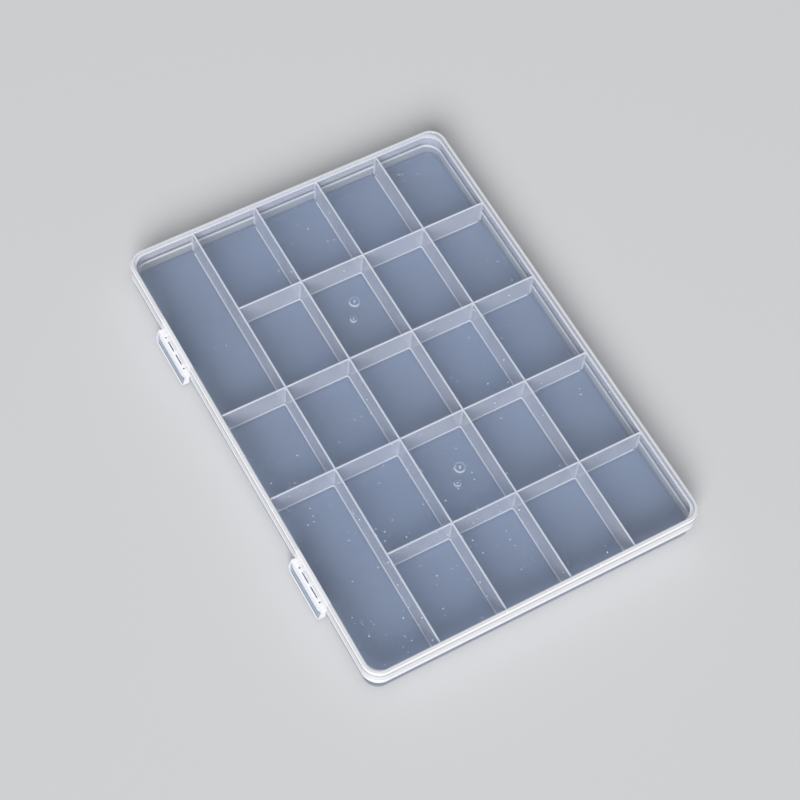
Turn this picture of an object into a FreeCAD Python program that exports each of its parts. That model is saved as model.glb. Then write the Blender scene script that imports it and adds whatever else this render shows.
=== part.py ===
"""Flat compartment box with a hinged lid and two snap flaps, in clear polypropylene.

Frame: +X along the box, +Y from the flaps to the hinge, +Z up.
The origin is the middle of the underside of the tray.
"""
import FreeCAD, Part
import math
import os

from FreeCAD import Vector

# Compartment grid
cell_length = 51.0           # clear length of one compartment along X
cell_width = 35.0            # clear width of one compartment along Y
column_count = 5             # compartments along X
row_count = 5                # rows along Y, counted from the flaps
divider_thickness = 1.0
divider_height = 15.6        # from the floor to the top of the dividers and the wall
divider_rounding = 0.35      # top edges of the dividers

# Lines of cross panels. The outer two leave the first row open, so that row has two double
# compartments and a single one.
cross_lines = ("a", "b", "c", "d")
lines_open_in_front = ("a", "d")

# Tray
floor_thickness = 1.2
floor_rounding = 1.0         # lower outer edge
wall_thickness = 1.2
wall_rounding = 0.35         # top edges of the wall
inside_corner_radius = 8.5   # inner face of the wall, seen from above
corner_radius = 7.7          # outer face of the wall, seen from above
flange_height = 2.0
flange_rounding = 0.4        # outer edges of the flange

# Lid
lid_thickness = 1.2
lid_clearance = 0.3          # between the divider tops and the lid panel
lid_rounding = 0.9           # top outer edge
skirt_depth = 7.0            # below the lid panel
skirt_thickness = 1.0
skirt_clearance = 0.3        # between the wall and the skirt
parting_gap = 0.2            # between the skirt and the flange
hinge_margin = 0.8           # the skirt and the flange are this much thicker on the hinge side

# Moulding marks
gate_spacing = 108.0         # between the two marks along X
lid_gate_radius = 2.9
lid_gate_nub_radius = 1.2
lid_gate_depth = 0.35
floor_gate_radius = 1.9
floor_gate_nub_radius = 0.7
floor_gate_depth = 0.4

# Bending strips of the lid
hinge_spacing = 71.0         # from one strip to the next
hinge_strip_length = 30.0
hinge_strip_height = 2.0
hinge_strip_thickness = 0.4

# Snap flaps
latch_spacing = 145.2        # between the two flaps
latch_width = 31.6
latch_clearance = 0.3        # under the flange and under the bending web
flap_gap = 0.5               # from the flap's inner edge to the flange
flap_thickness = 0.8
flap_height = 7.3
flap_spread = 1.9            # how far the flap leans out from top to bottom
flap_corner_radius = 2.0     # lower corners, seen from the front
flap_heel_radius = 3.0       # inner edge of the end walls, from upright to the lip
end_wall_thickness = 0.9
grip_radius = 0.6
hook_width = 23.0
hook_height = 1.3
hook_nose = 0.4              # upright height of the hook's tip
hook_gap = 0.2               # from the hook's tip to the flange's face
web_width = 1.4              # from the skirt to the flap
web_thickness = 0.4
web_rise = 0.1               # from the skirt's lower edge to the web
web_slot_length = 6.6
web_slot_width = 0.6
web_bridge = 2.0             # between the two slots
web_hole_radius = 0.5
web_hole_spacing = 20.4

# Sizes and levels that follow from the ones above
pitch_x = cell_length + divider_thickness
pitch_y = cell_width + divider_thickness
inner_length = column_count * pitch_x - divider_thickness
inner_width = row_count * pitch_y - divider_thickness
skirt_inner_offset = wall_thickness + skirt_clearance
skirt_offset = skirt_inner_offset + skirt_thickness
divider_top = floor_thickness + divider_height
lid_underside = divider_top + lid_clearance
lid_top = lid_underside + lid_thickness
skirt_bottom = lid_underside - skirt_depth
flange_top = skirt_bottom - parting_gap
flange_bottom = flange_top - flange_height
front_face = -inner_width / 2 - skirt_offset
hinge_face = inner_width / 2 + skirt_offset + hinge_margin
hinge_axis_y = hinge_face + hinge_strip_thickness
hinge_axis_z = flange_top + parting_gap / 2
web_bottom = skirt_bottom + web_rise
web_top = web_bottom + web_thickness
web_middle_y = front_face - web_width / 2
web_middle_z = web_bottom + web_thickness / 2
flap_root = front_face - web_width
flap_bottom = web_top - flap_height
flap_inner = front_face - flap_gap
flap_inner_top = web_bottom - latch_clearance
hook_top = flange_bottom - latch_clearance
hook_bottom = hook_top - hook_height

SIDES = {"left": -1, "right": 1}
TOUCH = 1e-4                 # coordinates closer than this are the same
X_AXIS = Vector(1, 0, 0)
Y_AXIS = Vector(0, 1, 0)

parts = {}


def block(x_low, x_high, y_low, y_high, z_low, z_high):
    """Box between two corners."""
    return Part.makeBox(x_high - x_low, y_high - y_low, z_high - z_low, Vector(x_low, y_low, z_low))


def level_edges(shape, level):
    """Edges that lie flat at one height."""
    return [e for e in shape.Edges if all(abs(v.Z - level) < TOUCH for v in e.Vertexes)]


def slab(offset, radius, z_low, z_high, back=0.0):
    """Plate with round corners whose sides stand `offset` outside the tray's inner faces."""
    half_x = inner_length / 2 + offset
    half_y = inner_width / 2 + offset
    plate = block(-half_x, half_x, -half_y, half_y + back, z_low, z_high)
    upright = [e for e in plate.Edges if abs(e.Vertexes[0].Z - e.Vertexes[1].Z) > TOUCH]
    return plate.makeFillet(radius, upright)


def tray_slab(z_low, z_high):
    """Plate that fills the outline of the wall."""
    return slab(wall_thickness, corner_radius, z_low, z_high)


def skirt_slab(z_low, z_high):
    """Plate that fills the outline of the lid and the flange, thicker on the hinge side."""
    radius = corner_radius + skirt_offset - wall_thickness
    return slab(skirt_offset, radius, z_low, z_high, hinge_margin)


def cylinder_z(radius, z_low, z_high, x):
    """Upright cylinder on the box's long middle line."""
    return Part.makeCylinder(radius, z_high - z_low, Vector(x, 0, z_low))


def gate_ring(radius, nub_radius, z_low, z_high, x):
    """Ring that a moulding mark leaves sunk around its nub."""
    return cylinder_z(radius, z_low, z_high, x).cut(cylinder_z(nub_radius, z_low, z_high, x))


def section_along_x(edges, x_low, x_high):
    """Solid from a closed section in the YZ plane, drawn at x = 0."""
    solid = Part.Face(Part.Wire(edges)).extrude(Vector(x_high - x_low, 0, 0))
    solid.translate(Vector(x_low, 0, 0))
    return solid


def polygon_edges(points):
    """Straight edges of a closed outline of (y, z) points."""
    corners = [Vector(0, y, z) for y, z in points]
    return [Part.LineSegment(a, b).toShape() for a, b in zip(corners, corners[1:] + corners[:1])]


def make_floor():
    floor = tray_slab(0, floor_thickness)
    floor = floor.makeFillet(min(floor_rounding, 0.9 * floor_thickness), level_edges(floor, 0))
    for side in SIDES.values():
        mark = gate_ring(floor_gate_radius, floor_gate_nub_radius, 0, floor_gate_depth,
                         side * gate_spacing / 2)
        floor = floor.cut(mark)
    parts["base_floor"] = floor


def make_wall():
    inside = slab(0, inside_corner_radius, floor_thickness, divider_top)
    wall = tray_slab(floor_thickness, divider_top).cut(inside)
    rounding = min(wall_rounding, 0.4 * wall_thickness)
    parts["base_wall"] = wall.makeFillet(rounding, level_edges(wall, divider_top))


def make_flange():
    plate = skirt_slab(flange_bottom, flange_top)
    rounding = min(flange_rounding, 0.4 * flange_height)
    plate = plate.makeFillet(rounding, level_edges(plate, flange_bottom) + level_edges(plate, flange_top))
    parts["base_flange"] = plate.cut(tray_slab(flange_bottom, flange_top))


def divider_plate(x_low, x_high, y_low, y_high, run):
    """Upright plate on the floor with round top edges along its run."""
    plate = block(x_low, x_high, y_low, y_high, floor_thickness, divider_top)
    tops = [e for e in level_edges(plate, divider_top)
            if (e.Vertexes[1].Point - e.Vertexes[0].Point).cross(run).Length < TOUCH]
    return plate.makeFillet(min(divider_rounding, 0.4 * divider_thickness), tops)


def make_dividers():
    half = divider_thickness / 2
    for row in range(1, row_count):
        y = -inner_width / 2 + row * pitch_y - half
        parts["long_divider_%d" % row] = divider_plate(
            -inner_length / 2, inner_length / 2, y - half, y + half, X_AXIS)
    for column, line in enumerate(cross_lines, start=1):
        x = -inner_length / 2 + column * pitch_x - half
        first_row = 2 if line in lines_open_in_front else 1
        for row in range(first_row, row_count + 1):
            y = -inner_width / 2 + (row - 1) * pitch_y
            parts["cross_panel_%s%d" % (line, row)] = divider_plate(
                x - half, x + half, y, y + cell_width, Y_AXIS)


def make_lid():
    panel = skirt_slab(lid_underside, lid_top)
    panel = panel.makeFillet(min(lid_rounding, 0.9 * lid_thickness), level_edges(panel, lid_top))
    for side in SIDES.values():
        mark = gate_ring(lid_gate_radius, lid_gate_nub_radius, lid_top - lid_gate_depth, lid_top,
                         side * gate_spacing / 2)
        panel = panel.cut(mark)
    parts["lid_panel"] = panel
    inside = slab(skirt_inner_offset, corner_radius + skirt_clearance, skirt_bottom, lid_underside)
    parts["lid_skirt"] = skirt_slab(skirt_bottom, lid_underside).cut(inside)


def make_hinge_strips():
    half = hinge_strip_length / 2
    low = hinge_axis_z - hinge_strip_height / 2
    for place, name in enumerate(("left", "middle", "right"), start=-1):
        x = place * hinge_spacing
        parts["hinge_strip_" + name] = block(
            x - half, x + half, hinge_face, hinge_face + hinge_strip_thickness,
            low, low + hinge_strip_height)


def flap_face(level):
    """Y of the flap's inner face at one height: it leans out evenly from the web to the lip."""
    return flap_root - flap_spread * (web_top - level) / flap_height


def end_wall_edges():
    """Section of an end wall: the flap's slope, and an upright inner edge that rounds to the lip."""
    lip = flap_face(flap_bottom)
    reach = flap_inner - lip
    heel = flap_bottom + math.sqrt(flap_heel_radius ** 2 - (flap_heel_radius - reach) ** 2)
    centre = Vector(0, flap_inner - flap_heel_radius, heel)
    turn = math.atan2(heel - flap_bottom, lip - centre.y)
    half_turn = Vector(0, math.cos(turn / 2), -math.sin(turn / 2)) * flap_heel_radius
    top_face = Vector(0, flap_face(flap_inner_top), flap_inner_top)
    top_inner = Vector(0, flap_inner, flap_inner_top)
    heel_start = Vector(0, flap_inner, heel)
    lip_end = Vector(0, lip, flap_bottom)
    return [
        Part.LineSegment(top_face, top_inner).toShape(),
        Part.LineSegment(top_inner, heel_start).toShape(),
        Part.Arc(heel_start, centre + half_turn, lip_end).toShape(),
        Part.LineSegment(lip_end, top_face).toShape(),
    ]


def make_flap(name, x):
    """Leaning flap with an end wall at each end, its hook bar and its rounded grip edge."""
    half = latch_width / 2
    lip = flap_face(flap_bottom)
    face = polygon_edges([(flap_root, web_top), (flap_root - flap_thickness, web_top),
                          (lip - flap_thickness, flap_bottom), (lip, flap_bottom)])
    flap = section_along_x(face, x - half, x + half)
    for low in (x - half, x + half - end_wall_thickness):
        flap = flap.fuse(section_along_x(end_wall_edges(), low, low + end_wall_thickness))
    front = block(x - half, x + half, flap_root - flap_spread - flap_thickness, flap_inner,
                  flap_bottom, web_top)
    corners = [e for e in front.Edges
               if abs(e.Vertexes[0].Y - e.Vertexes[1].Y) > TOUCH
               and abs(e.Vertexes[0].Z - flap_bottom) < TOUCH]
    flap = flap.removeSplitter().common(front.makeFillet(flap_corner_radius, corners))
    parts["latch_flap_" + name] = flap

    grip_half = half - flap_corner_radius
    grip_start = Vector(x - grip_half, lip - flap_thickness / 2, flap_bottom)
    parts["latch_grip_" + name] = Part.makeCylinder(grip_radius, 2 * grip_half, grip_start, X_AXIS).cut(flap)

    hook_tip = front_face - hook_gap
    hook = polygon_edges([(flap_face(flap_inner_top), flap_inner_top), (flap_inner, flap_inner_top),
                          (flap_inner, hook_top), (hook_tip, hook_top),
                          (hook_tip, hook_top - hook_nose), (flap_face(hook_bottom), hook_bottom)])
    parts["latch_hook_" + name] = section_along_x(hook, x - hook_width / 2, x + hook_width / 2)


def make_web(name, x):
    """Thin bending web from the skirt to the flap, with two slots and a round hole at each end."""
    half = latch_width / 2
    web = block(x - half, x + half, flap_root, front_face, web_bottom, web_top)
    for side in SIDES.values():
        slot_x = x + side * (web_bridge + web_slot_length) / 2
        web = web.cut(block(slot_x - web_slot_length / 2, slot_x + web_slot_length / 2,
                            web_middle_y - web_slot_width / 2, web_middle_y + web_slot_width / 2,
                            web_bottom, web_top))
        hole_x = x + side * web_hole_spacing / 2
        web = web.cut(Part.makeCylinder(web_hole_radius, web_thickness,
                                        Vector(hole_x, web_middle_y, web_bottom)))
    parts["latch_web_" + name] = web


make_floor()
make_wall()
make_flange()
make_dividers()
make_lid()
make_hinge_strips()
for side_name, side in SIDES.items():
    latch_x = side * latch_spacing / 2
    make_flap(side_name, latch_x)
    make_web(side_name, latch_x)

os.makedirs("parts", exist_ok=True)
for node, shape in parts.items():
    shape.exportStep("parts/%s.step" % node)
    print("%-22s solids %d  volume %10.2f mm3" % (node, len(shape.Solids), shape.Volume))
print("lid top %.2f, hinge axis y %.2f z %.2f, flap axis y %.2f z %.2f" % (
    lid_top, hinge_axis_y, hinge_axis_z,
    web_middle_y, web_middle_z))
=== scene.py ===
"""Looks of the flat compartment box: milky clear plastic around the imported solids.

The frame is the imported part's own: metres, +X along the box, +Y from the snap flaps to the hinge side,
+Z up. Sizes below are in millimetres unless they say otherwise.
"""
import math

import bpy
import numpy as np
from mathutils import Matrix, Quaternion, Vector


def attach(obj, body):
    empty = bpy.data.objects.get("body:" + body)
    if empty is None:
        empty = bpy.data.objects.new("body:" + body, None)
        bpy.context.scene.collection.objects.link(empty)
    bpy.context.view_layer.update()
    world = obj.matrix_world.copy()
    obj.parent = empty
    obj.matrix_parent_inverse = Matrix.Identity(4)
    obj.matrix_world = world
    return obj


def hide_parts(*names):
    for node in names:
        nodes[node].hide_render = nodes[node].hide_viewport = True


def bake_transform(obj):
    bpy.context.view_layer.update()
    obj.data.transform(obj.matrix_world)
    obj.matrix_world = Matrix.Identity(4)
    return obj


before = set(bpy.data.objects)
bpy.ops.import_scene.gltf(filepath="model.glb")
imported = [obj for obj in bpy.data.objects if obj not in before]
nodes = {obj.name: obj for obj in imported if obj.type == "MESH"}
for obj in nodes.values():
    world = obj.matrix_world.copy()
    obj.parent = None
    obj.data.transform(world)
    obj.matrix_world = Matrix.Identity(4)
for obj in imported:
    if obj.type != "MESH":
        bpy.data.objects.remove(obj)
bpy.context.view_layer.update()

MM = 0.001

# Sizes shared with the solids
CELL = (51.0, 35.0)              # clear size of one compartment
DIVIDER = 1.0
INSIDE_HALF = (129.5, 89.5)      # inner faces of the wall
INSIDE_CORNER = 8.5
FLOOR_TOP = 1.2
DIVIDER_TOP = 16.8
LID_HALF = (132.0, 92.4)         # outline of the lid and the flange
LID_MIDDLE_Y = 0.4
LID_CORNER = 9.0
LID_TOP = 18.3
SKIRT_BOTTOM = 10.1
FLANGE = (7.9, 9.9)
GATE_X = 54.0                    # moulding marks, left and right of the middle
LID_MARK, FLOOR_MARK = 2.75, 1.75
LATCH_X = 72.6
LATCH_HALF = 15.8
HINGE_X = 71.0
HINGE_HALF = 15.0
HINGE_FACE = 92.8
HINGE_THICKNESS = 0.4
HINGE_LEVELS = (9.0, 11.0)
WEB_INNER, WEB_OUTER = -92.0, -93.4
WEB_LEVEL = 10.4
WEB_THICKNESS = 0.4
WEB_STOPS = (0.5, 8.1, 9.2, 11.2, LATCH_HALF)   # slot, bridge, round hole and end, out from the middle
SLOT_HALF = (3.3, 0.3)
HOLE_HALF = (0.5, 0.5)
FLAP_LIP = 3.9                   # height up to which a flap is thick

# Roundings that only the looks have
COVE_RADIUS = 0.55
JUNCTION_RADIUS = 0.9
DIVIDER_CORNER = 1.3
STRIP_BOW = 0.05
SUNK = 0.02                      # how far a rounding reaches into what carries it
SUNK_SHARE = 0.03                # the same of an upright fillet, as a share of its radius
ARC_STEPS = 7                    # points along a quarter round


# Shader maths

class Field:
    """A value that varies over a surface. Maths on it adds Math nodes to its finish."""

    def __init__(self, finish, socket):
        self.finish = finish
        self.socket = socket

    def math(self, operation, *values):
        made = self.finish.node("ShaderNodeMath", {"operation": operation}, dict(enumerate(values)))
        return Field(self.finish, made.outputs[0])

    def __add__(self, other):
        return self.math("ADD", self, other)

    def __radd__(self, other):
        return self.math("ADD", other, self)

    def __sub__(self, other):
        return self.math("SUBTRACT", self, other)

    def __rsub__(self, other):
        return self.math("SUBTRACT", other, self)

    def __mul__(self, other):
        return self.math("MULTIPLY", self, other)

    def __rmul__(self, other):
        return self.math("MULTIPLY", other, self)

    def __truediv__(self, other):
        return self.math("DIVIDE", self, other)

    def __rtruediv__(self, other):
        return self.math("DIVIDE", other, self)

    def __pow__(self, other):
        return self.math("POWER", self, other)

    def __abs__(self):
        return self.math("ABSOLUTE", self)

    def least(self, other):
        return self.math("MINIMUM", self, other)

    def most(self, other):
        return self.math("MAXIMUM", self, other)

    def root(self):
        return self.math("SQRT", self)

    def rise(self, low, high):
        """0 below low, 1 above high, smooth between them. It falls instead where low is the larger."""
        made = self.finish.node("ShaderNodeMapRange", {"interpolation_type": "SMOOTHSTEP"},
                                {"Value": self, "From Min": low, "From Max": high})
        return Field(self.finish, made.outputs[0])


class Nodes:
    """An emptied node tree. node() makes any node: its settings first, then its sockets' values or links."""

    def __init__(self, owner):
        owner.use_nodes = True
        self.tree = owner.node_tree
        self.tree.nodes.clear()

    def node(self, kind, settings=(), sockets=()):
        made = self.tree.nodes.new(kind)
        for name, value in dict(settings).items():
            setattr(made, name, value)
        for key, value in dict(sockets).items():
            if isinstance(value, Field):
                self.tree.links.new(value.socket, made.inputs[key])
            else:
                made.inputs[key].default_value = value
        return made


class Finish(Nodes):
    """A node material."""

    def __init__(self, name):
        self.material = bpy.data.materials.new(name)
        super().__init__(self.material)
        self.place = Field(self, self.node("ShaderNodeTexCoord").outputs["Object"])
        split = self.node("ShaderNodeSeparateXYZ", {}, {0: self.place})
        self.x, self.y, self.z = (Field(self, out) * (1 / MM) for out in split.outputs)

    def mix(self, share, first, second):
        """Colour between two colours."""
        made = self.node("ShaderNodeMix", {"data_type": "RGBA"}, {0: share, 6: first, 7: second})
        return Field(self, made.outputs[2])

    def stretched(self, *scale):
        """Place in metres, stretched along each axis, for a pattern's coordinates."""
        made = self.node("ShaderNodeVectorMath", {"operation": "MULTIPLY"}, {0: self.place, 1: scale})
        return Field(self, made.outputs[0])

    def noise(self, scale, detail=2.0, roughness=0.5, place=None):
        """Cloudy value around 0.5, `scale` features to the metre."""
        made = self.node("ShaderNodeTexNoise", {}, {"Vector": place or self.place, "Scale": scale,
                                                    "Detail": detail, "Roughness": roughness})
        return Field(self, made.outputs["Fac"])

    def specks(self, spacing, radius, share):
        """Round dots of one radius, on that share of points scattered at that spacing."""
        made = self.node("ShaderNodeTexVoronoi", {"feature": "F1"},
                         {"Vector": self.place, "Scale": 1 / (spacing * MM), "Randomness": 1.0})
        near = Field(self, made.outputs["Distance"]).rise(radius / spacing, 0.5 * radius / spacing)
        pick = self.node("ShaderNodeSeparateColor", {}, {0: Field(self, made.outputs["Color"])})
        return near * Field(self, pick.outputs[0]).rise(1 - share, 1 - 0.9 * share)

    def inset(self, half, middle_y, corner):
        """Distance in from a rounded rectangle's outline, in mm: negative outside it."""
        across = abs(self.x) - (half[0] - corner)
        along = abs(self.y - middle_y) - (half[1] - corner)
        round_part = (across.most(0.0) ** 2.0 + along.most(0.0) ** 2.0).root()
        return corner - round_part - across.most(along).least(0.0)

    def plastic(self, colour, milk, roughness, tint, gloss=0.02, low_gloss=0.35):
        """Clear plastic of one tint, of which a share is milk that scatters light in its own colour, under a
        polished skin, faintly wavy from the mould, that mirrors by gloss face on and by low_gloss at low angles."""
        waves = self.node("ShaderNodeBump", {}, {"Strength": 0.2, "Distance": 0.3 * MM,
                                                 "Height": self.noise(130, 2)})
        skin_way = Field(self, waves.outputs[0])
        body = self.node("ShaderNodeBsdfPrincipled", {}, {"Base Color": colour, "Roughness": roughness,
                                                          "IOR": 1.49, "Normal": skin_way})
        clear = self.node("ShaderNodeBsdfTransparent", {}, {"Color": tint})
        skin = self.node("ShaderNodeBsdfGlossy", {}, {"Color": (1, 1, 1, 1), "Roughness": 0.1, "Normal": skin_way})
        facing = Field(self, self.node("ShaderNodeLayerWeight", {}, {"Blend": 0.5}).outputs["Facing"])
        within = self.node("ShaderNodeMixShader", {}, {0: milk, 1: Field(self, clear.outputs[0]),
                                                       2: Field(self, body.outputs[0])})
        whole = self.node("ShaderNodeMixShader", {}, {0: facing ** 5.0 * (low_gloss - gloss) + gloss,
                                                      1: Field(self, within.outputs[0]),
                                                      2: Field(self, skin.outputs[0])})
        self.node("ShaderNodeOutputMaterial", {}, {"Surface": Field(self, whole.outputs[0])})
        return self.material


# Finishes

HAZE = (0.42, 0.62, 1.0, 1)          # scattering of thin plastic, seen face on
MILK = (0.92, 0.935, 1.0, 1)         # scattering in a wall that is seen along its depth
WHITE = (0.94, 0.945, 0.97, 1)       # edges and thick places
CREASE = (0.84, 0.81, 0.85, 1)       # hollow edges
CLEAR = (0.945, 0.95, 0.96, 1)       # light that one face lets through
SMOKE = (0.80, 0.83, 0.88, 1)        # the same, of the thicker floor
HOOK_SHADE_TINT = (0.72, 0.74, 0.78, 1)    # light that the thick hook bar lets through, darkened as painted shade for the web's holes over it
MOST_MILK = 0.95
PAINTED_HIGHLIGHT_WAY = (0.74, -0.67)           # side of a moulding mark's ring that gets a painted highlight, in X and Y


def mark(f, outer, inner, strength):
    """Milk of a round moulding mark: a fine ring and a dot, white partly as the mark itself and partly as painted
    highlight; a painted highlight makes the ring strongest on its front right side.
    """
    across, along = abs(f.x) - GATE_X, f.y
    radius = (across ** 2.0 + along ** 2.0).root()
    # painted highlight: the ring is whiter on its front right side
    highlight_reach = f.x * PAINTED_HIGHLIGHT_WAY[0] + f.y * PAINTED_HIGHLIGHT_WAY[1]
    side = (highlight_reach - abs(f.x) / f.x * (GATE_X * PAINTED_HIGHLIGHT_WAY[0])) / outer
    ring = radius.rise(outer + 0.35, outer) * radius.rise(outer - 0.7, outer - 0.1)
    dot = radius.rise(inner, 0.4 * inner)
    return (ring * (side.rise(-0.2, 0.9) * 0.75 + 0.25) + dot * 0.6) * strength


def lid_finish():
    """Clear panel: thin haze in clouds, patches of dust, white over the skirt with a painted highlight along its
    rounded outer edge, painted light over the wall's top, and white at the moulding marks, partly painted
    highlight.
    """
    f = Finish("lid_clear")
    depth = f.inset(LID_HALF, LID_MIDDLE_Y, LID_CORNER)
    edge = depth.rise(1.75, 1.45)
    # white over the skirt, with a painted highlight along the rounded outer edge and a greyer line just inside it
    edge_with_highlight = edge * (depth.rise(0.45, 0.2) * 0.35 + depth.rise(0.6, 1.3) * 0.2 + 0.55)
    by_flap = abs(abs(f.x) - LATCH_X).rise(LATCH_HALF + 1.5, LATCH_HALF - 0.5)
    carrier = by_flap * f.y.rise(WEB_INNER + 6.0, WEB_INNER + 4.0)
    # painted light: whitens the lid over the wall's top, which lies in the shade of the lid's border
    painted_light_band = depth.rise(2.15, 1.95)
    border = edge_with_highlight.most(painted_light_band * (carrier * 0.4 + 0.4))
    clouds = f.noise(22, 3) - 0.5
    patch = f.noise(26, 2).rise(0.4, 0.58)
    dust = (f.specks(4.0, 0.5, 0.35) + f.specks(2.3, 0.3, 0.3)).least(1.0) * patch
    ring = mark(f, LID_MARK, 0.9, 0.7)
    milk = (0.03 + clouds * 0.1 + border + dust * 0.75 + ring).least(MOST_MILK)
    colour = f.mix((painted_light_band + dust + ring * 2.0).least(1.0), HAZE, WHITE)
    return f.plastic(colour, milk, 0.2 + clouds * 0.3, CLEAR)


def floor_finish():
    """Floor of the tray: haze and a little dust."""
    f = Finish("tray_floor")
    clouds = f.noise(30, 3) - 0.5
    dust = f.specks(9.0, 0.3, 0.3)
    # moulding mark, whitened partly as painted highlight
    ring = mark(f, FLOOR_MARK, 0.8, 1.4)
    milk = (0.022 + clouds * 0.02 + dust * 0.3 + ring).least(MOST_MILK)
    colour = f.mix((dust + ring * 2.0).least(1.0), HAZE, WHITE)
    return f.plastic(colour, milk, 0.25, SMOKE)


def divider_finish():
    """Upright panels: even milky haze, white along the top edge."""
    f = Finish("divider_milk")
    top = f.z.rise(DIVIDER_TOP - 0.5, DIVIDER_TOP - 0.15)
    flow = f.noise(1.0, 2, 0.5, f.stretched(55, 55, 25)) - 0.5
    milk = (0.37 + flow * 0.24 + top * 0.58).least(MOST_MILK)
    return f.plastic(f.mix(top, MILK, WHITE), milk, 0.2 + flow * 0.2, CLEAR)


def wall_finish():
    """Wall ring: clear below the flange, white at the flange's root as painted light where the shaded flange behind
    shows through, milky above it, white on top.
    """
    f = Finish("tray_wall")
    top = f.z.rise(DIVIDER_TOP - 0.9, DIVIDER_TOP - 0.4)
    upper = f.z.rise(FLANGE[1] - 0.1, FLANGE[1] + 0.5)
    # painted light: white band at the flange's height, standing in for the white flange behind the wall, which lies
    # in shade
    painted_flange_line = f.z.rise(FLANGE[0] - 0.1, FLANGE[0] + 0.3) * f.z.rise(FLANGE[1] + 0.2, FLANGE[1] - 0.1)
    flow = f.noise(16, 2) - 0.5
    milk = (0.025 + upper * 0.3 + flow * 0.05 + (top + painted_flange_line) * 0.92).least(MOST_MILK)
    colour = f.mix((top + painted_flange_line + upper * 0.6).least(1.0), MILK, WHITE)
    return f.plastic(colour, milk, 0.25, CLEAR)


def rim_finish():
    """Flange: thick, so white."""
    f = Finish("flange_white")
    flow = f.noise(40, 2) - 0.5
    return f.plastic(f.mix(flow + 0.5, CREASE, WHITE), 0.9 + flow * 0.1, 0.3, CLEAR)


def skirt_finish():
    """Skirt of the lid: milky, white along its lower edge and where it carries a flap."""
    f = Finish("lid_skirt_milk")
    low = f.z.rise(SKIRT_BOTTOM + 1.9, SKIRT_BOTTOM + 1.7)
    middle = f.z.rise(SKIRT_BOTTOM + 4.9, SKIRT_BOTTOM + 4.3) * f.z.rise(SKIRT_BOTTOM + 2.1, SKIRT_BOTTOM + 2.4)
    by_flap = abs(abs(f.x) - LATCH_X).rise(LATCH_HALF + 0.6, LATCH_HALF - 0.2)
    carrier = by_flap * f.y.rise(WEB_INNER + 2.0, WEB_INNER + 1.5)
    flow = f.noise(16, 2) - 0.5
    solid = (low + carrier).least(1.0)
    milk = (0.46 + solid * 0.46 + middle * 0.3 + flow * 0.08).least(MOST_MILK)
    return f.plastic(f.mix((solid + middle).least(1.0) * 0.5 + 0.5, MILK, WHITE), milk, 0.25 + flow * 0.2, CLEAR)


def latch_finish():
    """Flap: white at the root, along the lip and down both ends, clearer in the thin field between them."""
    f = Finish("latch_milk")
    flow = f.noise(90, 2) - 0.5
    from_end = LATCH_HALF - abs(abs(f.x) - LATCH_X)
    end = from_end.rise(1.1, 0.7)
    lip = f.z.rise(FLAP_LIP + 0.5, FLAP_LIP)
    root = (f.z - from_end.rise(4.0, 1.0) * 1.6).rise(FLANGE[0] - 0.5, FLANGE[0])
    solid = (end + lip + root).least(1.0)
    milk = 0.16 + solid * 0.7 + flow * 0.04
    return f.plastic(f.mix(solid, HAZE, WHITE), milk, 0.25, CLEAR)


def hook_finish():
    """Hook bar behind the flap: clear and darkened, painted shade so the web's holes look dark over it."""
    f = Finish("hook_clear")
    flow = f.noise(90, 2) - 0.5
    return f.plastic(HAZE, 0.06 + flow * 0.05, 0.25, HOOK_SHADE_TINT)


def bend_finish():
    """Bending places: stress-whitened along the fold."""
    f = Finish("bend_white")
    crease = f.noise(1.0, 4, 0.6, f.stretched(900, 60, 60)) - 0.5
    return f.plastic(f.mix(crease + 0.5, MILK, WHITE), 0.8 + crease * 0.2, 0.35, CLEAR)


def cove_finish():
    """Rounded foot of the dividers: white, fading out where it runs along the clear outer wall."""
    f = Finish("cove_milk")
    flow = f.noise(60, 2) - 0.5
    inner = f.inset(INSIDE_HALF, 0.0, INSIDE_CORNER).rise(0.8, 2.4)
    return f.plastic(f.mix(flow + 0.5, CREASE, WHITE), inner * 0.58 + 0.02, 0.2, CLEAR)


def fillet_finish():
    """Rounded upright corners between dividers: milk like theirs, whiter at the top."""
    f = Finish("junction_milk")
    top = f.z.rise(DIVIDER_TOP - 2.5, DIVIDER_TOP - 0.5)
    flow = f.noise(60, 2) - 0.5
    return f.plastic(f.mix(top, MILK, WHITE), 0.4 + top * 0.3 + flow * 0.04, 0.2, CLEAR)


# Surfaces

def grid_faces(rows, columns, wrap_rows=False, wrap_columns=False):
    """Quads of a grid of rows by columns of points, numbered row by row, with either way closed."""
    row = np.arange(rows if wrap_rows else rows - 1)[:, None]
    column = np.arange(columns if wrap_columns else columns - 1)[None, :]
    next_row, next_column = (row + 1) % rows, (column + 1) % columns
    corners = (row * columns + column, row * columns + next_column,
               next_row * columns + next_column, next_row * columns + column)
    return np.stack([np.broadcast_to(c, np.broadcast(row, column).shape) for c in corners], -1).reshape(-1, 4)


def piece(name, sheets, material, smooth=True):
    """One mesh object from (points in mm, quads) sheets, with touching rims joined."""
    points = np.concatenate([p.reshape(-1, 3) for p, _ in sheets]) * MM
    starts = np.cumsum([0] + [p.reshape(-1, 3).shape[0] for p, _ in sheets[:-1]])
    faces = np.concatenate([q + s for (_, q), s in zip(sheets, starts)])
    keys, back = np.unique(np.round(points / (1e-3 * MM)).astype(np.int64), axis=0, return_inverse=True)
    merged = np.zeros((len(keys), 3))
    merged[back.ravel()] = points
    mesh = bpy.data.meshes.new(name)
    mesh.from_pydata(merged.tolist(), [], back.ravel()[faces].tolist())
    mesh.polygons.foreach_set("use_smooth", [smooth] * len(mesh.polygons))
    mesh.materials.append(material)
    made = bpy.data.objects.new(name, mesh)
    bpy.context.scene.collection.objects.link(made)
    return made


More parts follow.
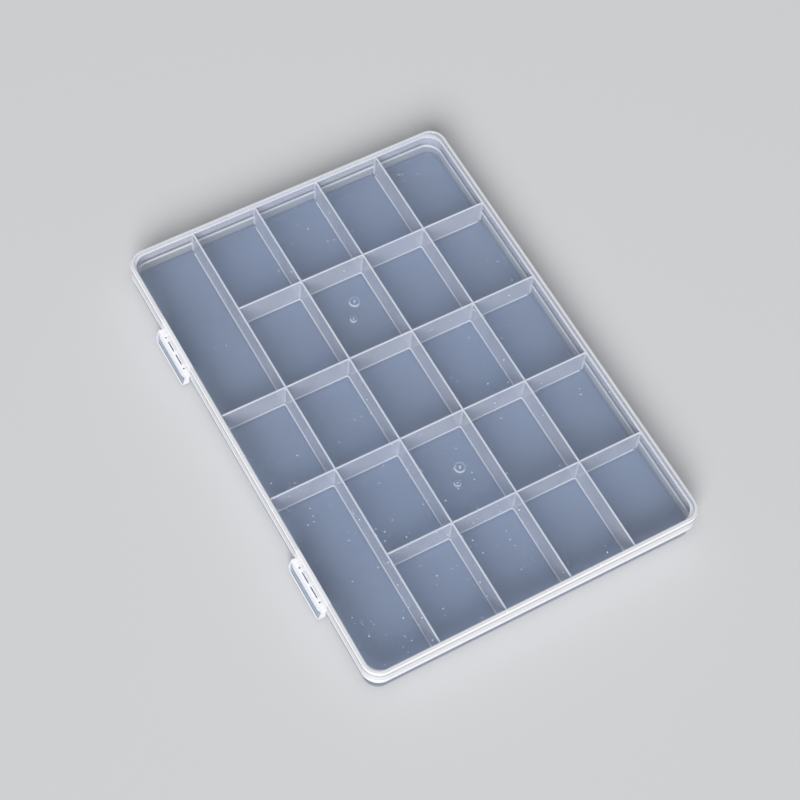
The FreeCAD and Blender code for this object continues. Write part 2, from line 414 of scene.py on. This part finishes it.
def rounded_loop(half, corners):
    """Closed path round a rectangle about the origin, an arc of the given radius at each corner, with the
    directions that point out of it. Corners go round from (+x, +y) against the clock."""
    turn = np.linspace(0, math.pi / 2, ARC_STEPS)
    places, outs = [], []
    for quarter, radius in enumerate(corners):
        angle = turn + quarter * math.pi / 2
        out = np.stack([np.cos(angle), np.sin(angle)], -1)
        sign = np.array([1 if quarter in (0, 3) else -1, 1 if quarter in (0, 1) else -1])
        places.append(sign * (np.array(half) - radius) + radius * out)
        outs.append(out)
    return np.concatenate(places), np.concatenate(outs)


def cove(middle, half, corners, radius):
    """Cove along the foot of one compartment: a hollow quarter round, closed behind, carried along the
    rounded outline. The quarter round is the circle of that radius that touches wall and floor."""
    places, outs = rounded_loop(half, corners)
    angle = np.linspace(0, math.pi / 2, ARC_STEPS)
    inward = np.concatenate([radius - radius * np.cos(angle), [radius, -SUNK, -SUNK]])
    up = np.concatenate([radius - radius * np.sin(angle), [-SUNK, -SUNK, radius]])
    flat = places[:, None, :] - outs[:, None, :] * inward[None, :, None] + np.array(middle)
    level = np.broadcast_to(FLOOR_TOP + up[None, :, None], flat.shape[:2] + (1,))
    points = np.concatenate([flat, level], -1)
    return points, grid_faces(len(places), len(inward), True, True)


def upright_fillet(corner, ways, radius, levels):
    """Hollow quarter round up one inner corner: the circle that touches both walls, closed behind by the corner
    itself. Its radius runs out to nothing at the top and the bottom, as the sixth power of the height."""
    height = np.linspace(-1, 1, 13)
    reach = radius * (1 - np.abs(height) ** 6)
    angle = np.linspace(0, math.pi / 2, ARC_STEPS)
    along = np.concatenate([1 - np.sin(angle), [-SUNK_SHARE, -SUNK_SHARE]])
    across = np.concatenate([1 - np.cos(angle), [1.0, -SUNK_SHARE]])
    x = corner[0] + ways[0] * reach[:, None] * along[None, :]
    y = corner[1] + ways[1] * reach[:, None] * across[None, :]
    z = (levels[0] + levels[1]) / 2 + height[:, None] * (levels[1] - levels[0]) / 2
    faces = grid_faces(len(height), len(along), False, True)
    outward = ways[0] * ways[1] > 0
    return np.stack(np.broadcast_arrays(x, y, z), -1), faces if outward else faces[:, ::-1]


def compartments():
    """Middle, half size and four corner radii of each compartment."""
    pitch = np.array(CELL) + DIVIDER
    spans = [(0, 0, 1), (0, 2, 2), (0, 3, 4)] + [(row, c, c) for row in range(1, 5) for c in range(5)]
    for row, first, last in spans:
        low = -np.array(INSIDE_HALF) + pitch * (first, row)
        high = -np.array(INSIDE_HALF) + pitch * (last, row) + CELL
        right, left, back, front = last == 4, first == 0, row == 4, row == 0
        outer = (right and back, left and back, left and front, right and front)
        yield (low + high) / 2, (high - low) / 2, [INSIDE_CORNER if o else DIVIDER_CORNER for o in outer]


def bending_strip(x_low, x_high, levels, y):
    """Upright sheet across the parting line that bows out a little half-way up: y rises with the square of
    the distance from its two edges."""
    x = np.linspace(x_low, x_high, 25)[:, None]
    t = np.linspace(-1, 1, 25)[None, :]
    bow = STRIP_BOW * (1 - t ** 2) * (1 - np.abs(2 * (x - x_low) / (x_high - x_low) - 1) ** 8)
    z = (levels[0] + levels[1]) / 2 + t * (levels[1] - levels[0]) / 2
    points = np.stack(np.broadcast_arrays(x, y + bow, z), -1)
    return points, grid_faces(x.size, t.size)


def plain_tile(x_low, x_high, count, edge):
    """Flat stretch of the web between two places along X."""
    x = np.linspace(x_low, x_high, count)[:, None]
    points = np.stack(np.broadcast_arrays(x, edge[None, :], WEB_LEVEL), -1)
    return points, grid_faces(count, len(edge))


def holed_tile(x_low, x_high, half_hole, is_round, edge):
    """Flat stretch of the web around one hole: rings that run from its rectangle's outline to the hole's,
    which is the same rectangle made smaller, or the circle in the same directions."""
    middle = np.array([(x_low + x_high) / 2, (edge[0] + edge[-1]) / 2])
    half = np.array([(x_high - x_low) / 2, abs(edge[-1] - edge[0]) / 2])
    along = np.linspace(-1, 1, 17)[:-1]
    across = np.linspace(-1, 1, len(edge))[:-1]
    ones = np.ones_like
    ring = np.concatenate([
        np.stack([along, -ones(along)], -1), np.stack([ones(across), across], -1),
        np.stack([-along, ones(along)], -1), np.stack([-ones(across), -across], -1)])
    rim = ring * half
    if is_round:
        hole = rim / np.linalg.norm(rim, axis=1, keepdims=True) * half_hole[0]
    else:
        hole = ring * np.array(half_hole)
    share = np.linspace(0, 1, 4)[None, :, None]     # from the rim to the hole
    flat = middle + rim[:, None, :] * (1 - share) + hole[:, None, :] * share
    points = np.concatenate([flat, np.full(flat.shape[:2] + (1,), WEB_LEVEL)], -1)
    return points, grid_faces(len(ring), share.size, True, False)


def latch_web(x):
    """The perforated web in stretches from end to end: two slots by the middle and a round hole at each end."""
    edge = np.linspace(WEB_OUTER, WEB_INNER, 13)
    sheets = [plain_tile(x - WEB_STOPS[0], x + WEB_STOPS[0], 3, edge)]
    for side in (-1, 1):
        stops = [x + side * s for s in WEB_STOPS]
        spans = [tuple(sorted(pair)) for pair in zip(stops, stops[1:])]
        sheets.append(holed_tile(*spans[0], SLOT_HALF, False, edge))
        sheets.append(plain_tile(*spans[1], 4, edge))
        sheets.append(holed_tile(*spans[2], HOLE_HALF, True, edge))
        sheets.append(plain_tile(*spans[3], 10, edge))
    return sheets


def thicken(made, thickness):
    """Gives a sheet its thickness, half to each side."""
    shell = made.modifiers.new("thickness", "SOLIDIFY")
    shell.thickness = thickness * MM
    shell.offset = 0.0
    shell.use_even_offset = True


# Carried-over solids

LID, FLOOR, DIVIDERS, WALL = lid_finish(), floor_finish(), divider_finish(), wall_finish()
RIM, SKIRT, LATCH, BEND = rim_finish(), skirt_finish(), latch_finish(), bend_finish()
COVE, FILLET = cove_finish(), fillet_finish()
FINISH_OF = {"lid_panel": LID, "lid_skirt": SKIRT, "base_floor": FLOOR, "base_wall": WALL, "base_flange": RIM}
FINISH_BY_START = {"long_divider": DIVIDERS, "cross_panel": DIVIDERS, "hinge_strip": BEND, "latch_web": BEND,
                   "latch_hook": hook_finish(), "latch_": LATCH}
for name, node in nodes.items():
    match = [m for start, m in FINISH_BY_START.items() if name.startswith(start)]
    material = FINISH_OF.get(name) or match[0]
    node.data.materials.clear()
    node.data.materials.append(material)


# New pieces

coves = piece("compartment_coves", [cove(m, h, c, COVE_RADIUS) for m, h, c in compartments()], COVE)
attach(coves, "base")

fillets = []
for middle, half, corners in compartments():
    for quarter, (ways, radius) in enumerate(zip(((1, 1), (-1, 1), (-1, -1), (1, -1)), corners)):
        if radius < INSIDE_CORNER:
            fillets.append(upright_fillet(middle + half * ways, np.negative(ways), JUNCTION_RADIUS,
                                          (FLOOR_TOP, DIVIDER_TOP)))
junctions = piece("junction_fillets", fillets, FILLET)
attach(junctions, "base")

for place, side in enumerate(("left", "middle", "right"), start=-1):
    x = place * HINGE_X
    strip = piece("bending_strip_" + side,
                  [bending_strip(x - HINGE_HALF, x + HINGE_HALF, HINGE_LEVELS,
                                 HINGE_FACE + HINGE_THICKNESS / 2)], BEND)
    thicken(strip, HINGE_THICKNESS - 2 * STRIP_BOW)
    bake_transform(strip)
    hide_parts("hinge_strip_" + side)

for side, x in (("left", -LATCH_X), ("right", LATCH_X)):
    web = piece("perforated_web_" + side, latch_web(x), BEND)
    thicken(web, WEB_THICKNESS)
    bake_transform(web)
    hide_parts("latch_web_" + side)


# Studio

FLOOR_COLOUR = (0.67, 0.675, 0.685, 1)
FLOOR_LEVEL = -0.0002            # metres
FLOOR_REACH = 40.0
CAMERA_PLACE, CAMERA_AIM = (0.43859, -0.29514, 0.91311), (0.00315, -0.00475, 0.009)
CAMERA_ROLL = 5.32               # degrees
CAMERA_LENS, CAMERA_SENSOR = 93.787, 36.0


def pale_floor():
    """Wide flat floor just under the box, pale and matt."""
    steps = np.linspace(-FLOOR_REACH, FLOOR_REACH, 3)
    x, y = np.meshgrid(steps, steps)
    mesh = bpy.data.meshes.new("floor")
    points = np.stack([x, y, np.full_like(x, FLOOR_LEVEL)], -1).reshape(-1, 3)
    mesh.from_pydata(points.tolist(), [], grid_faces(3, 3).tolist())
    material = bpy.data.materials.new("pale_floor")
    material.use_nodes = True
    body = material.node_tree.nodes["Principled BSDF"]
    body.inputs["Base Color"].default_value = FLOOR_COLOUR
    body.inputs["Roughness"].default_value = 1.0
    body.inputs["Specular IOR Level"].default_value = 0.0
    mesh.materials.append(material)
    made = bpy.data.objects.new("floor", mesh)
    bpy.context.scene.collection.objects.link(made)


def hang(name, data, place):
    """Puts a lamp at a place, aimed at the box."""
    lamp = bpy.data.objects.new(name, data)
    lamp.location = place
    lamp.rotation_mode = "QUATERNION"
    lamp.rotation_quaternion = (Vector((0, 0, 0)) - Vector(place)).to_track_quat("-Z", "Y")
    bpy.context.scene.collection.objects.link(lamp)


def soft_box(name, place, size, power):
    """Square soft light aimed at the box."""
    data = bpy.data.lights.new(name, "AREA")
    data.shape = "SQUARE"
    data.size = size
    data.energy = power
    hang(name, data, place)


def soft_sun(name, place, spread, strength):
    """Even soft light from one direction, spread over an angle in degrees."""
    data = bpy.data.lights.new(name, "SUN")
    data.angle = math.radians(spread)
    data.energy = strength
    hang(name, data, place)


def studio_world(colour, strength, seen):
    """Light from all round, and a paler background where it is seen or mirrored."""
    world = bpy.data.worlds.new("studio")
    n = Nodes(world)
    ray = n.node("ShaderNodeLightPath").outputs
    in_view = Field(n, ray["Is Camera Ray"]) + Field(n, ray["Is Glossy Ray"]) + Field(n, ray["Is Transmission Ray"])
    back = n.node("ShaderNodeBackground", {}, {"Color": colour,
                                               "Strength": in_view.least(1.0) * (seen - strength) + strength})
    n.node("ShaderNodeOutputWorld", {}, {"Surface": Field(n, back.outputs[0])})
    bpy.context.scene.world = world


def photo_camera():
    """Camera at the photograph's viewing angle: seen from above the near right corner, turned a little."""
    place, aim = Vector(CAMERA_PLACE), Vector(CAMERA_AIM)
    data = bpy.data.cameras.new("camera")
    data.sensor_width, data.lens = CAMERA_SENSOR, CAMERA_LENS
    data.clip_start, data.clip_end = 0.01, 20
    camera = bpy.data.objects.new("camera", data)
    turned = Quaternion((0, 0, 1), math.radians(CAMERA_ROLL))
    camera.rotation_mode = "QUATERNION"
    camera.rotation_quaternion = (aim - place).to_track_quat("-Z", "Y") @ turned
    camera.location = place
    bpy.context.scene.collection.objects.link(camera)
    bpy.context.scene.camera = camera


pale_floor()
soft_sun("front", place=(1.25, -0.95, 1.1), spread=34, strength=3.1)
soft_box("above", place=(0.35, -0.25, 1.5), size=0.8, power=4)
studio_world(colour=(0.95, 0.97, 1.0, 1), strength=0.22, seen=0.7)
photo_camera()
bpy.context.scene.view_settings.view_transform = "Standard"
bpy.context.scene.cycles.transparent_max_bounces = 64
